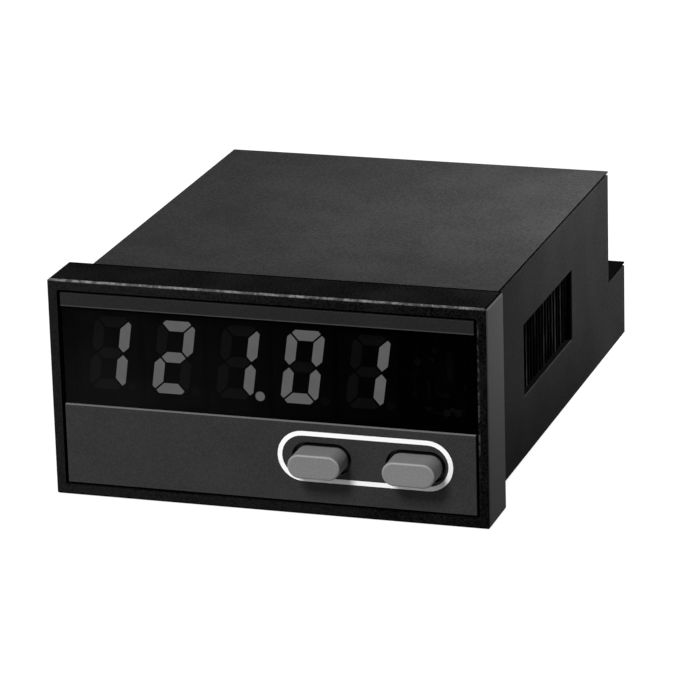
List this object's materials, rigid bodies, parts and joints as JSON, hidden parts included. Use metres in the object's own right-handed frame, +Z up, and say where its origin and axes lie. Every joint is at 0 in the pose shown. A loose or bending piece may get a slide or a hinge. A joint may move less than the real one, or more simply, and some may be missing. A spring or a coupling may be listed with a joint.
{
  "type": "digital panel meter",
  "caption": "Panel-mounted digital display meter with a seven-segment window, two push keys, side vents and rear screw terminals.",
  "frame": {"origin": "centre of the plane that the bezel's back seats on, which is the front face of the panel", "axes": "+Y into the panel, out of the bezel's back; +X to the right as seen from the front; +Z up"},
  "size_m": [0.096, 0.1335, 0.048],
  "materials": {
    "case_plastic": "fine-grained moulded",
    "cover_plastic": "fine-grained moulded",
    "bezel_plastic": "satin moulded",
    "front_foil": "matt foil",
    "filter": "polished tinted pane",
    "digit_body": "matt reflector face",
    "segment": "translucent light guide",
    "key_plastic": "matt",
    "dark_plastic": "moulded",
    "board": "lacquered glass-fibre board",
    "chip": "moulded resin",
    "plated_steel": "zinc plated",
    "plated_brass": "tinned",
    "terminal_plastic": "moulded",
    "can": "sleeved can",
    "heat_sink": "extruded",
    "relay_plastic": "moulded"
  },
  "bodies": {
    "case": {"front_bezel": "bezel_plastic", "header_strip": "front_foil", "filter_pane": "filter", "key_plate": "front_foil", "digit_module_1": "digit_body", "digit_module_2": "digit_body", "digit_module_3": "digit_body", "digit_module_4": "digit_body", "digit_module_5": "digit_body", "digit_segments_1": "segment", "digit_segments_2": "segment", "digit_segments_3": "segment", "digit_segments_4": "segment", "digit_segments_5": "segment", "display_board": "board", "display_driver": "chip", "display_resistors": "chip", "display_board_screws": "plated_steel", "left_key_switch": "dark_plastic", "right_key_switch": "dark_plastic", "housing": "case_plastic", "top_cover": "cover_plastic", "rear_cover": "dark_plastic", "rear_cover_screws": "plated_steel", "supply_terminal_block": "terminal_plastic", "signal_terminal_block": "terminal_plastic", "terminal_clamps": "plated_brass", "terminal_screws": "plated_steel", "main_board": "board", "board_connector": "dark_plastic", "supply_transformer": "dark_plastic", "reservoir_capacitors": "can", "voltage_regulator": "chip", "regulator_heat_sink": "heat_sink", "microcontroller": "chip", "signal_relay": "relay_plastic"},
    "left_key": {"left_key_cap": "key_plastic", "left_key_plunger": "dark_plastic"},
    "right_key": {"right_key_cap": "key_plastic", "right_key_plunger": "dark_plastic"}
  },
  "joints": [
    {"name": "left_key_press", "type": "slide", "parent": "case", "child": "left_key", "axis": [0, 1, 0], "range_m": [0, 0.001], "stiffness_N_per_m": 800, "springref_m": -0.0008},
    {"name": "right_key_press", "type": "slide", "parent": "case", "child": "right_key", "axis": [0, 1, 0], "range_m": [0, 0.001], "stiffness_N_per_m": 800, "springref_m": -0.0008}
  ]
}
